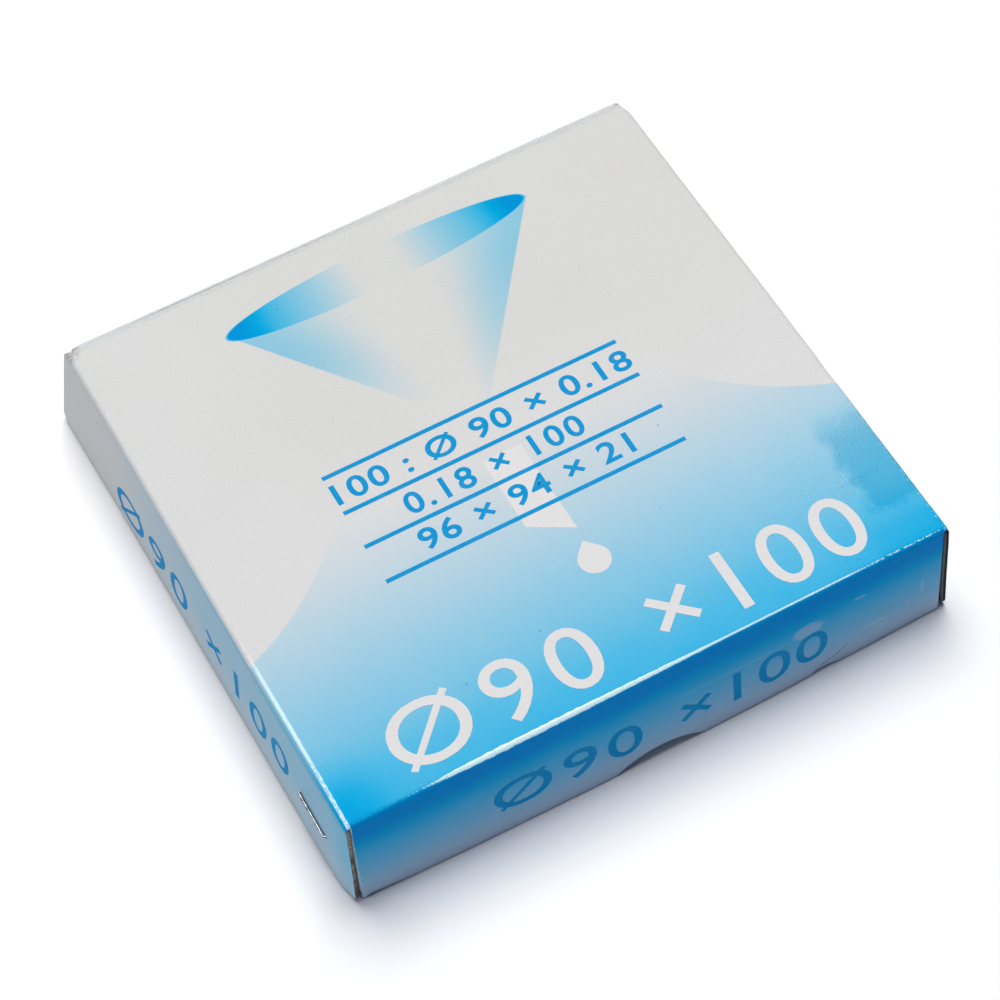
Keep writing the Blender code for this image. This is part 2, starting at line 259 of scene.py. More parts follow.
class Nodes:
    """Short calls that add nodes to one material and wire them up.

    Textures lie in the mesh's own vector attribute, or else in object millimetres."""

    def __init__(self, name, attribute=None):
        self.material = bpy.data.materials.new(name)
        self.material.use_nodes = True
        self.tree = self.material.node_tree
        self.shader = self.tree.nodes["Principled BSDF"]
        if attribute:
            node = self.new("Attribute")
            node.attribute_name = attribute
            self.place = node.outputs["Vector"]
        else:
            node = self.new("VectorMath")
            node.operation = "SCALE"
            self.link(self.new("TexCoord").outputs["Object"], node.inputs[0])
            node.inputs["Scale"].default_value = 1 / MM
            self.place = node.outputs[0]

    def new(self, kind):
        return self.tree.nodes.new("ShaderNode" + kind)

    def link(self, value, socket):
        if isinstance(value, Number):
            value = value.socket
        if isinstance(value, bpy.types.NodeSocket):
            self.tree.links.new(value, socket)
        else:
            socket.default_value = value

    def math(self, operation, first, second=0.0, clamp=False):
        node = self.new("Math")
        node.operation = operation
        node.use_clamp = clamp
        self.link(first, node.inputs[0])
        self.link(second, node.inputs[1])
        return Number(self, node.outputs[0])

    def larger(self, first, second):
        return self.math("MAXIMUM", first, second)

    def length(self, x, y):
        return self.math("SQRT", x * x + y * y)

    def step(self, value, low, high, out_low=0.0, out_high=1.0):
        """Smooth step of value from low to high."""
        node = self.new("MapRange")
        node.interpolation_type = "SMOOTHSTEP"
        for socket, amount in zip(node.inputs[:5], (value, low, high, out_low, out_high)):
            self.link(amount, socket)
        return Number(self, node.outputs[0])

    def ramp_color(self, value, points):
        """Colours through (position, colour) points, with positions within 0 to 1."""
        node = self.new("ValToRGB")
        self.link(value, node.inputs[0])
        stops = node.color_ramp.elements
        while len(stops) < len(points):
            stops.new(0.5)
        for stop, (place, color) in zip(stops, points):
            stop.position = place
            stop.color = (*color, 1.0)
        return node.outputs[0]

    def ramp_value(self, value, points):
        """Piecewise linear curve through (position, output) points."""
        grey_points = [(place, (amount, amount, amount)) for place, amount in points]
        return Number(self, self.ramp_color(value, grey_points))

    def mix(self, amount, first, second, blend="MIX"):
        node = self.new("Mix")
        node.data_type = "RGBA"
        node.blend_type = blend
        self.link(amount, node.inputs[0])
        for value, socket in ((first, node.inputs[6]), (second, node.inputs[7])):
            self.link((*value, 1.0) if isinstance(value, tuple) else value, socket)
        return node.outputs[2]

    def split(self, vector):
        node = self.new("SeparateXYZ")
        self.link(vector, node.inputs[0])
        return [Number(self, socket) for socket in node.outputs]

    def stretch(self, x, y, z):
        """The place with its axes scaled, for textures that run along one of them."""
        node = self.new("VectorMath")
        node.operation = "MULTIPLY"
        self.link(self.place, node.inputs[0])
        node.inputs[1].default_value = (x, y, z)
        return node.outputs[0]

    def noise(self, scale, detail=3.0, roughness=0.55, distortion=0.0, place=None):
        node = self.new("TexNoise")
        self.link(place or self.place, node.inputs["Vector"])
        for name, value in (("Scale", scale), ("Detail", detail),
                            ("Roughness", roughness), ("Distortion", distortion)):
            node.inputs[name].default_value = value
        return Number(self, node.outputs[0])

    def scatter(self, scale):
        """Distance to the nearest of many scattered points."""
        node = self.new("TexVoronoi")
        self.link(self.place, node.inputs["Vector"])
        node.inputs["Scale"].default_value = scale
        return Number(self, node.outputs["Distance"])

    def bump(self, height, depth, below=None):
        """Bump of a depth in millimetres, on top of the bump below it."""
        node = self.new("Bump")
        node.inputs["Strength"].default_value = 1.0
        node.inputs["Distance"].default_value = depth * MM
        self.link(height, node.inputs["Height"])
        if below is not None:
            self.link(below, node.inputs["Normal"])
        return node.outputs[0]

    def shaded(self, color, amount):
        """The colour made lighter or darker by an amount around 1."""
        node = self.new("CombineColor")
        for socket in node.inputs[:3]:
            self.link(amount, socket)
        return self.mix(1.0, color, node.outputs[0], "MULTIPLY")

    def finish(self, color, roughness, normal=None, **others):
        self.link(color, self.shader.inputs["Base Color"])
        self.link(roughness, self.shader.inputs["Roughness"])
        if normal is not None:
            self.link(normal, self.shader.inputs["Normal"])
        for name, value in others.items():
            self.link(value, self.shader.inputs[name.replace("_", " ")])
        return self.material


# ---- folded board

def fold(distance, edge, radius):
    """Fold a sheet down over an edge: (distance across, drop) of a point of the flat sheet."""
    past = distance - (edge - radius)
    if past <= 0:
        return distance, 0.0
    angle = min(past / radius, QUARTER)
    across = edge - radius + radius * math.sin(angle)
    return across, radius * (1 - math.cos(angle)) + max(0.0, past - radius * QUARTER)


def smooth(value, low, high):
    share = min(max((value - low) / (high - low), 0.0), 1.0)
    return share * share * (3 - 2 * share)


class Carton:
    """One folded blank: a panel, two side walls, one or two end walls and their glued-in tabs."""

    def __init__(self, half, end_half, front, rear, level, down, depth, radius, tab_fold):
        self.half, self.end_half = half, end_half
        self.front, self.rear = front, rear      # rear is None where the panel has a free edge
        self.level, self.down, self.depth = level, down, depth
        self.radius, self.tab_fold = radius, tab_fold
        self.wall = depth - radius + radius * QUARTER
        self.side_end = half - radius + self.wall
        self.front_edge = front + radius - self.wall         # v of the front wall's lower edge
        self.tab_start = end_half - tab_fold
        self.tab_turn = self.tab_start + tab_fold * QUARTER
        self.tab_end = self.tab_turn + TAB_LENGTH - tab_fold
        start = radius * (QUARTER - 2)      # the tabs' rows lie between these, past an end fold
        self.tab_near, self.tab_far = start + TAB_MARGIN, start + depth - TAB_MARGIN

    def end_of(self, v):
        """Sign and distance of the end wall that a point at v belongs to, from the middle."""
        if self.rear is not None and v > 0:
            return 1, self.rear
        return -1, -self.front

    def region(self, u, v):
        """'panel' or 'end' for a point of the blank, and None where the blank is cut away."""
        sign, reach = self.end_of(v)
        past = v * sign - reach
        if past < 0:
            return "panel"
        in_tab = abs(u) < self.tab_end and self.tab_near < past < self.tab_far
        return "end" if abs(u) < self.end_half or in_tab else None

    def shape(self, u, v):
        """Move a point of the regular grid to the blank's own outline, with tapered tabs."""
        sign, reach = self.end_of(v)
        past = v * sign - reach
        if past <= 0 or abs(u) <= self.tab_turn:
            return u, v
        share = (abs(u) - self.tab_turn) / (self.tab_end - self.tab_turn)
        middle = (self.tab_near + self.tab_far) / 2
        past = middle + (past - middle) * (1 - share * TAB_TAPER * 2 / self.depth)
        return u, sign * (reach + past)

    def straight(self, *place):
        return 0.0

    side_lean = end_lean = bulge = wave = straight

    def bare(self, u, v, on_end):
        """Folded place of a point of the blank; on_end says that it is past the end fold."""
        side = 1 if u >= 0 else -1
        sign, reach = self.end_of(v)
        across, drop = fold(abs(u), self.half, self.radius)
        along, fall = fold(v * sign, reach, self.radius)
        if not on_end:
            share = drop / self.depth
            stay = math.exp(-drop / 1.2)
            y = sign * (along * stay + v * sign * (1 - stay))
            x = side * (across + self.side_lean(y) * share)
            z = drop + fall * stay
        else:
            share = fall / self.depth
            turned, back = fold(abs(u), self.end_half, self.tab_fold)
            weight = smooth(fall, 0.4, TAB_MARGIN - 0.1)
            width = abs(u) + (turned - abs(u)) * weight
            lean = self.end_lean(back) * min(1.0, abs(u) / self.end_half)
            x = side * (width + lean * share)
            y = sign * (along - back * weight + self.bulge(x, share))
            z = fall + drop * math.exp(-fall) * (abs(u) <= self.end_half)
        return Vector((x, y, self.level + (-z if self.down else z)))

    def on(self, u, v, on_end, lift=0.0):
        """The bare place moved out along its normal by the sheet's waviness and a lift."""
        step = 0.02
        place = self.bare(u, v, on_end)
        across = self.bare(u + step, v, on_end) - self.bare(u - step, v, on_end)
        along = self.bare(u, v + step, on_end) - self.bare(u, v - step, on_end)
        normal = across.cross(along).normalized()
        if not self.down:
            normal.negate()
        return place + normal * (self.wave(u, v) + lift)


class Lid(Carton):
    def side_lean(self, y):
        along = (y - FRONT) / (REAR + SIDE_FLARE - FRONT)
        held = CORNER_HOLD * math.exp(-((y - FRONT) / CORNER_REACH) ** 2)
        return SIDE_LEAN_FRONT + (SIDE_LEAN_REAR - SIDE_LEAN_FRONT) * along - held

    def end_lean(self, back):
        return TAB_LEAN + (FRONT_LEAN - TAB_LEAN) * math.exp(-(back / CORNER_REACH) ** 2)

    def bulge(self, x, share):
        return FRONT_BULGE * max(0.0, 1 - (x / LID_FRONT_HALF) ** 2) * share

    def rear_edge(self, u):
        """Where the free rear edge of the panel and the side walls runs, across the blank."""
        drop = fold(abs(u), self.half, self.radius)[1]
        corner = REAR - CORNER_RELIEF
        if drop < 1e-6:
            return min(CREASE_START, corner + self.half - abs(u))
        run = REAR + SIDE_FLARE * drop / self.depth
        start = min(CREASE_START, corner + self.radius)
        relief = start + (REAR + SIDE_FLARE * CORNER_RELIEF / self.depth - start) * drop / CORNER_RELIEF
        heel = run - max(0.0, drop - (self.depth - HEEL_CUT))
        return relief if drop < CORNER_RELIEF else heel

    def shape(self, u, v):
        if v > REAR_SHAPING:
            share = (v - REAR_SHAPING) / (CREASE_START - REAR_SHAPING)
            return u, REAR_SHAPING + (self.rear_edge(u) - REAR_SHAPING) * share
        if v < self.front and abs(u) > self.tab_turn:
            share = (abs(u) - self.tab_turn) / (self.tab_end - self.tab_turn)
            middle = (self.front + self.front_edge) / 2
            return u, middle + (v - middle) * (1 - share * TAB_TAPER * 2 / self.depth)
        if v < self.front_edge + NOTCH_SHAPING and abs(u) < self.tab_start:
            share = (self.front_edge + NOTCH_SHAPING - v) / NOTCH_SHAPING
            return u, v + share * (self.notch(u) + self.nibble(u) + self.short_end(u))
        share = (abs(u) - self.side_end) / TOE_SHAPING + 1
        if share > 0 and self.front <= v < self.front + TOE_RADIUS:
            rise = min(TOE_RADIUS, self.front + TOE_RADIUS - v)
            shift = TOE_RADIUS - math.sqrt(TOE_RADIUS ** 2 - rise ** 2)
            return math.copysign(abs(u) - share * shift, u), v
        return u, v

    def notch(self, u):
        """Height of the thumb notch above the front wall's lower edge."""
        if abs(u) >= NOTCH_WIDTH / 2:
            return 0.0
        radius = NOTCH_WIDTH ** 2 / (8 * NOTCH_DEPTH) + NOTCH_DEPTH / 2
        return math.sqrt(radius ** 2 - u ** 2) - (radius - NOTCH_DEPTH)

    def short_end(self, u):
        """The front wall's left end stops a little short of the side wall's lower edge."""
        return 0.5 * smooth(-u, 38.0, 46.0)

    def nibble(self, u):
        """A short crumpled stretch of the lower edge, right of the notch."""
        return 0.3 * smooth(u, 24.5, 27.0) * (1 - smooth(u, 28.5, 30.0))

    def wave(self, u, v):
        """How far the board stands out: soft waves, a crease, worn folds, dents and crushed corners."""
        place = Vector((u, v, 0)) * 0.035 + Vector((0, 0, 3.7))
        rise = noise.noise(place) * 0.14 + noise.noise(place * 3.1) * 0.035
        crease = 0.05 * math.exp(-((u - 41.5 - 0.25 * (v + 32)) / 0.5) ** 2)
        rise += crease * smooth(v, -36, -30) * (1 - smooth(v, -26, -20))
        edge = math.exp(-min(abs(abs(u) - self.half), abs(v - self.front)) ** 2 / 0.8)
        rise += 0.05 * noise.noise(Vector((u * 0.6, v * 0.6, 1.3))) * edge
        uneven = 0.7 + 0.6 * noise.noise(Vector((u, v, 0)) * 0.8)
        rise -= dent(u, v, *REAR_LEFT_CRUSH) * uneven
        rise -= dent(u, v, *REAR_RIGHT_CRUSH) + dent(u, v, *SIDE_FOLD_DENT)
        if v < self.front:
            rise -= dent(u, v, (CRUMPLE[0], self.front_edge), *CRUMPLE[1:])
        return rise


def dent(u, v, place, size, depth):
    """Depth of a soft hollow of a size at a place of the blank."""
    return depth * math.exp(-((u - place[0]) / size[0]) ** 2 - ((v - place[1]) / size[1]) ** 2)


def spaced(*stretches):
    """Line positions through (start, end, step) stretches that follow on from each other."""
    lines = [stretches[0][0]]
    for start, end, step in stretches:
        count = max(1, round((end - start) / step))
        lines += [start + (end - start) * index / count for index in range(1, count + 1)]
    return lines


def both_ways(lines):
    return [-line for line in reversed(lines) if line > 0] + lines


def mesh_of(name, bm):
    mesh = bpy.data.meshes.new(name)
    bm.to_mesh(mesh)
    bm.free()
    return mesh


def linked(name, data):
    made = bpy.data.objects.new(name, data)
    bpy.context.scene.collection.objects.link(made)
    return made


def sheet_mesh(name, carton, u_lines, v_lines):
    """The folded blank, made of the grid cells whose middle lies on it."""
    bm = bmesh.new()
    blank = bm.verts.layers.float_vector.new("blank")
    verts = {}

    def vert(i, j, kind):
        sign, reach = carton.end_of(v_lines[j])
        on_end = kind == "end" and abs(v_lines[j] * sign - reach) >= 1e-6
        if (i, j, on_end) not in verts:
            u, v = carton.shape(u_lines[i], v_lines[j])
            made = bm.verts.new(carton.on(u, v, on_end) * MM)
            made[blank] = (u, v, 0)
            verts[i, j, on_end] = made
        return verts[i, j, on_end]

    for i in range(len(u_lines) - 1):
        for j in range(len(v_lines) - 1):
            kind = carton.region((u_lines[i] + u_lines[i + 1]) / 2, (v_lines[j] + v_lines[j + 1]) / 2)
            if kind:
                corners = [vert(*corner, kind) for corner in
                           ((i, j), (i + 1, j), (i + 1, j + 1), (i, j + 1))]
                bm.faces.new(corners if carton.down else corners[::-1]).smooth = True
    return mesh_of(name, bm)


def add_piece(name, data, materials, body=None, stands_for=()):
    """Link an object, give it its materials, and say what it rides on and stands for."""
    piece = linked(name, data)
    for material in materials:
        data.materials.append(material)
    if body:
        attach(piece, body)
    if stands_for:
        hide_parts(*stands_for)
    return piece


def thicken(piece, thickness, offset=-1.0, inner=0, rim=0):
    """Give a sheet its thickness, with sharp cut edges."""
    solidify = piece.modifiers.new("thickness", "SOLIDIFY")
    solidify.thickness = thickness * MM
    solidify.offset = offset
    solidify.material_offset = inner
    solidify.material_offset_rim = rim
    depsgraph = bpy.context.evaluated_depsgraph_get()
    sheet = piece.data
    piece.data = bpy.data.meshes.new_from_object(piece.evaluated_get(depsgraph))
    piece.data.name = sheet.name
    piece.modifiers.remove(solidify)
    bpy.data.meshes.remove(sheet)
    piece.data.set_sharp_from_angle(angle=SHARP)


# ---- the lid and its print

LID = Lid(LID_HALF, LID_FRONT_HALF, FRONT, None, HEIGHT, True, WALL_DROP, FOLD, TAB_FOLD)
TRAY = Carton(TRAY_HALF, TRAY_END_HALF, TRAY_FRONT, REAR, 0.0, False, TRAY_TOP, TRAY_FOLD, TAB_FOLD)
FOLD_EXTRA = FOLD * (QUARTER - 2)           # flat length minus height, past a folded edge
SIDE_AT_Z0 = LID_HALF + FOLD_EXTRA + HEIGHT     # |u| of the height z = 0 on a side wall
FRONT_AT_Z0 = FRONT - FOLD_EXTRA - HEIGHT       # v of the height z = 0 on the front wall


def make_lid(lid, materials):
    """The printed lid: its grid is finest where it folds."""
    bend = lid.half - lid.radius
    bend_end = bend + lid.radius * QUARTER
    relief = bend_end - lid.radius + CORNER_RELIEF
    heel = bend_end - lid.radius + lid.depth - HEEL_CUT
    u_lines = both_ways(spaced(
        (0.0, 5.0, 1.0), (5.0, NOTCH_WIDTH / 2, 0.21), (NOTCH_WIDTH / 2, 24.0, 1.0), (24.0, 31.0, 0.5),
        (31.0, 45.0, 1.0), (45.0, lid.tab_start, 0.45), (lid.tab_start, bend, 0.12),
        (bend, lid.end_half, 0.1), (lid.end_half, lid.tab_turn, 0.11), (lid.tab_turn, bend_end, 0.13),
        (bend_end, relief, 0.36), (relief, heel, 1.1), (heel, lid.tab_end, 0.3),
        (lid.tab_end, lid.side_end, 0.3)))
    edge, near, far = lid.front_edge, lid.front - lid.tab_near, lid.front - lid.tab_far
    bend_start = lid.front + lid.radius * (1 - QUARTER)
    v_lines = spaced(
        (edge, far, 0.35), (far, edge + NOTCH_SHAPING, 0.8), (edge + NOTCH_SHAPING, -52.0, 1.0),
        (-52.0, near, 0.8), (near, bend_start, 0.15), (bend_start, lid.front, 0.11),
        (lid.front, lid.front + lid.radius, 0.1), (lid.front + lid.radius, -43.0, 0.5),
        (-43.0, 42.0, 1.0), (42.0, CREASE_START, 0.4))
    mesh = sheet_mesh("lid_board", lid, u_lines, v_lines)
    piece = add_piece("lid_board", mesh, materials, "lid_body", ["lid"])
    thicken(piece, BOARD, inner=1, rim=2)


def cut_to_grid(bm):
    """Cut a flat drawing along a square grid, so that it can follow the folded sheet."""
    for axis in (0, 1):
        low = min(vert.co[axis] for vert in bm.verts)
        high = max(vert.co[axis] for vert in bm.verts)
        normal = Vector((1 - axis, axis, 0))
        for index in range(math.floor(low / GRID) + 1, math.ceil(high / GRID)):
            bmesh.ops.bisect_plane(
                bm, geom=bm.verts[:] + bm.edges[:] + bm.faces[:], dist=1e-5,
                plane_co=normal * (index * GRID), plane_no=normal)


def print_on_lid(name, bm, material, lift):
    """Lay a flat drawing in blank coordinates on the lid, as a thin film of ink."""
    bmesh.ops.remove_doubles(bm, verts=bm.verts, dist=1e-4)
    cut_to_grid(bm)
    for vert in bm.verts:
        u, v, _ = vert.co
        vert.co = LID.on(u, v, v < LID.front, lift) * MM
    for face in bm.faces:
        face.smooth = True
    piece = add_piece(name, mesh_of(name, bm), [material], "lid_body", ())
    thicken(piece, INK_FILM, offset=1.0)


def text_outline(text, bold, spacing):
    """Flat glyphs of Blender's own font, stretched to one unit wide and one unit high."""
    curve = bpy.data.curves.new("glyphs", "FONT")
    curve.body = text
    curve.offset = bold
    curve.space_character = spacing
    curve.resolution_u = 6
    holder = linked("glyphs", curve)
    bpy.context.view_layer.update()
    depsgraph = bpy.context.evaluated_depsgraph_get()
    mesh = bpy.data.meshes.new_from_object(holder.evaluated_get(depsgraph))
    bm = bmesh.new()
    bm.from_mesh(mesh)
    bpy.data.objects.remove(holder)
    bpy.data.curves.remove(curve)
    bpy.data.meshes.remove(mesh)
    for axis in (0, 1):
        places = [vert.co[axis] for vert in bm.verts]
        low, high = min(places), max(places)
        for vert in bm.verts:
            vert.co[axis] = (vert.co[axis] - low) / (high - low)
    return bm


def print_text(name, text, start, end, height, material, up=(0, 1), bold=0.003, spacing=1.0):
    """Print text from start to end (blank coordinates of its baseline), height along up."""
    bm = text_outline(text, bold, spacing)
    start, end, up = Vector(start), Vector(end), Vector(up)
    for vert in bm.verts:
        place = start + vert.co.x * (end - start) + up * (vert.co.y * height)
        vert.co = (*place, 0)
    if (end - start).cross(up) < 0:
        bmesh.ops.reverse_faces(bm, faces=bm.faces)
    print_on_lid(name, bm, material, TEXT_LIFT)


def print_outline(name, outlines, material, lift):
    """Print filled polygons given as lists of (u, v), anticlockwise."""
    bm = bmesh.new()
    for outline in outlines:
        bm.faces.new([bm.verts.new((u, v, 0)) for u, v in outline])
    print_on_lid(name, bm, material, lift)


def make_print(blue, white):
    """Rules, figures and symbols; the words of such a carton are left out."""
    rules = []
    for v in RULE_ROWS:
        low, high = v - RULE_WIDTH / 2, v + RULE_WIDTH / 2
        rules.append([(RULE_LEFT, low), (RULE_RIGHT, low), (RULE_RIGHT, high), (RULE_LEFT, high)])
    print_outline("print_rules", rules, blue, TEXT_LIFT)
    for index, (text, left, right, base, spacing) in enumerate(TOP_LINES, 1):
        print_text(f"print_line_{index}", text, (left, base), (right, base), TOP_LINE_HEIGHT, blue,
                   bold=TOP_LINE_BOLD, spacing=spacing)
    for side, text, left, right, spacing in HEADLINE:
        print_text(f"print_headline_{side}", text, (left, HEADLINE_BASE), (right, HEADLINE_BASE),
                   HEADLINE_HEIGHT, white, spacing=spacing)

    print_outline("print_stem", [STEM], white, SHAPE_LIFT)
    centre, tip = Vector(DROP_CENTRE), Vector(DROP_TIP)
    tangent = math.acos(DROP_RADIUS / (tip - centre).length)
    drop = [tip]
    for index in range(DROP_STEPS + 1):
        angle = tangent + (2 * math.pi - 2 * tangent) * index / DROP_STEPS
        drop.append(centre + DROP_RADIUS * Vector((math.sin(angle), math.cos(angle))))
    print_outline("print_drop", [drop[::-1]], white, SHAPE_LIFT)

    for side, text, ends, spacing in FRONT_LINE:
        start, end = ((u, FRONT_AT_Z0 + height) for u, height in ends)
        print_text(f"print_front_{side}", text, start, end, FRONT_LINE_HEIGHT, blue, spacing=spacing)
    for side, sign in (("left", -1), ("right", 1)):
        for place, text, ends in SIDE_LINE:
            start, end = (
                (sign * (SIDE_AT_Z0 - (SIDE_LINE_BASE + (SIDE_LINE_START - y) * SIDE_LINE_RISE)), -sign * y)
                for y in ends)
            print_text(f"print_{side}_{place}", text, start, end, SIDE_LINE_HEIGHT, blue,
                       up=(-sign, 0), spacing=SIDE_LINE_SPACING)


# ---- materials

def bluer_shaded_patch(n, u, v):
    """A patch on the right of the lid with a ragged outline, where the print is bluer and darkened by
    painted shade of a dent.
    """
    edge = (n.noise(0.35, 4.0, 0.6) - 0.5) * 5.0
    across = n.step(u + edge, 39.4, 41.6)
    return across * n.step(v + edge, -19.5, -27.0) * n.step(v + edge, -41.0, -38.0)


def print_density(n, u, v):
    """How much blue the print carries, from the blank's own coordinates."""
    top = n.ramp_value(v / -TOP_RUN, TOP_DENSITY)
    top = top + n.step(u, -36, -47) * n.step(v, -33, -43) * 0.19
    top = top + n.step(u, 30, 44) * n.step(v, -36, -44) * 0.1
    top = top + bluer_shaded_patch(n, u, v) * 0.16

    front = n.ramp_value((v - FRONT_AT_Z0) / HEIGHT, FRONT_DENSITY)
    on_front = n.step(v, FRONT + 0.75, FRONT + 0.1)
    middle = top * (1.0 - on_front) + front * on_front

    across = abs(u)
    low = across - (SIDE_AT_Z0 - HEIGHT)
    side = n.ramp_value((SIDE_START - v) / SIDE_RUN, SIDE_DENSITY) * n.step(low, 8.0, 20.5, 1.0, 0.48)
    side = side + n.step(low, 3.2, 0.6) * n.step(v, 14.0, -46.0, 0.04, 0.3)
    on_side = n.step(across, LID_HALF + 0.15, LID_HALF + 0.75)

    for centre in (-HILL_CENTRE[0], HILL_CENTRE[0]):
        distance = n.length(u - centre, v - HILL_CENTRE[1])
        middle = middle * n.step(distance, HILL_RADIUS - 0.12, HILL_RADIUS + 0.12)
    middle = n.larger(middle, cone_density(n, u, v))
    return middle * (1.0 - on_side) + side * on_side


def cone_density(n, u, v):
    """A plain cone: a shaded mouth above sides that fade out towards its point."""
    x = u - MOUTH_CENTRE[0]
    y = v - MOUTH_CENTRE[1] - x * MOUTH_TILT
    away = abs(x)
    in_mouth = n.step(n.length(x / MOUTH_SIZE[0], y / MOUTH_SIZE[1]), 1.015, 0.985)
    mouth = n.ramp_value(away / MOUTH_RUN, MOUTH_DENSITY)

    half = v * CONE_SLOPE + (MOUTH_SIZE[0] - MOUTH_CENTRE[1] * CONE_SLOPE)
    inside = n.step(half - away, -0.12, 0.12) * n.step(y, 0.1, -0.1)
    fade_end = n.step(x, -4.0, 4.0, CONE_END_LEFT, CONE_END_RIGHT)
    body = n.step(away / n.larger(half, 1.0), 0.22, 1.02, 0.0, 0.36) * n.step(v, fade_end, 30.0)
    return mouth * in_mouth + body * inside * (1.0 - in_mouth)


def scuff(n, u, v, centre, size):
    """A soft-edged ellipse on the front wall with a ragged outline."""
    x = (u - centre[0]) / size[0]
    y = (v - (FRONT_AT_Z0 + centre[1])) / size[1]
    return n.step(n.length(x, y) + (n.noise(1.6, 4.0) - 0.5) * 1.1, 1.25, 0.75)


def scratch(n, along, across, start, end, width, blur):
    """A line at across = 0 that fades in and out along its length."""
    line = n.step(abs(across), width, blur)
    return line * n.step(along, *start) * n.step(along, *end)


def fold_wear_and_highlight(n, u, v):
    """Where the folds have lost their ink and carry a painted highlight, and how much their varnish shines.
    """
    ragged = (n.noise(0.9, 3.0) - 0.5) * 0.5
    gaps = n.noise(1.5, 3.0, 0.6)

    width = n.ramp_value((u + 50.0) / 100.0, FRONT_WEAR_HIGHLIGHT_WIDTH)
    place = abs(v - FRONT_FOLD_LINE + ragged * width * 1.6)
    dotted = n.larger(n.step(u, -31.0, -37.0), n.step(u, 30.0, 36.0))
    front = n.step(place - width, 0.05, -0.1)
    front = front * (1.0 - dotted + dotted * n.step(gaps, 0.47, 0.56))

    place = abs(u + SIDE_FOLD_LINE + ragged * 0.35)
    side = n.step(place - n.step(v, -14.0, -19.0, 0.16, 0.3), 0.06, -0.1)
    side = side * n.step(v, -10.0, -20.0, 0.3, 0.95) * n.step(v, 45.5, 44.0)
    sparse = n.larger(n.step(v, -19.0, -17.0), n.step(v, -34.0, -36.0)) * 0.5
    side = side * (1.0 - sparse + sparse * n.step(gaps, 0.44, 0.54))

    other = n.step(abs(u - SIDE_FOLD_LINE), 0.25, 0.1) * n.step(gaps, 0.52, 0.62) * 0.35
    shine = n.larger(front, side)
    return n.math("MINIMUM", n.larger(shine, other), 1.0), shine


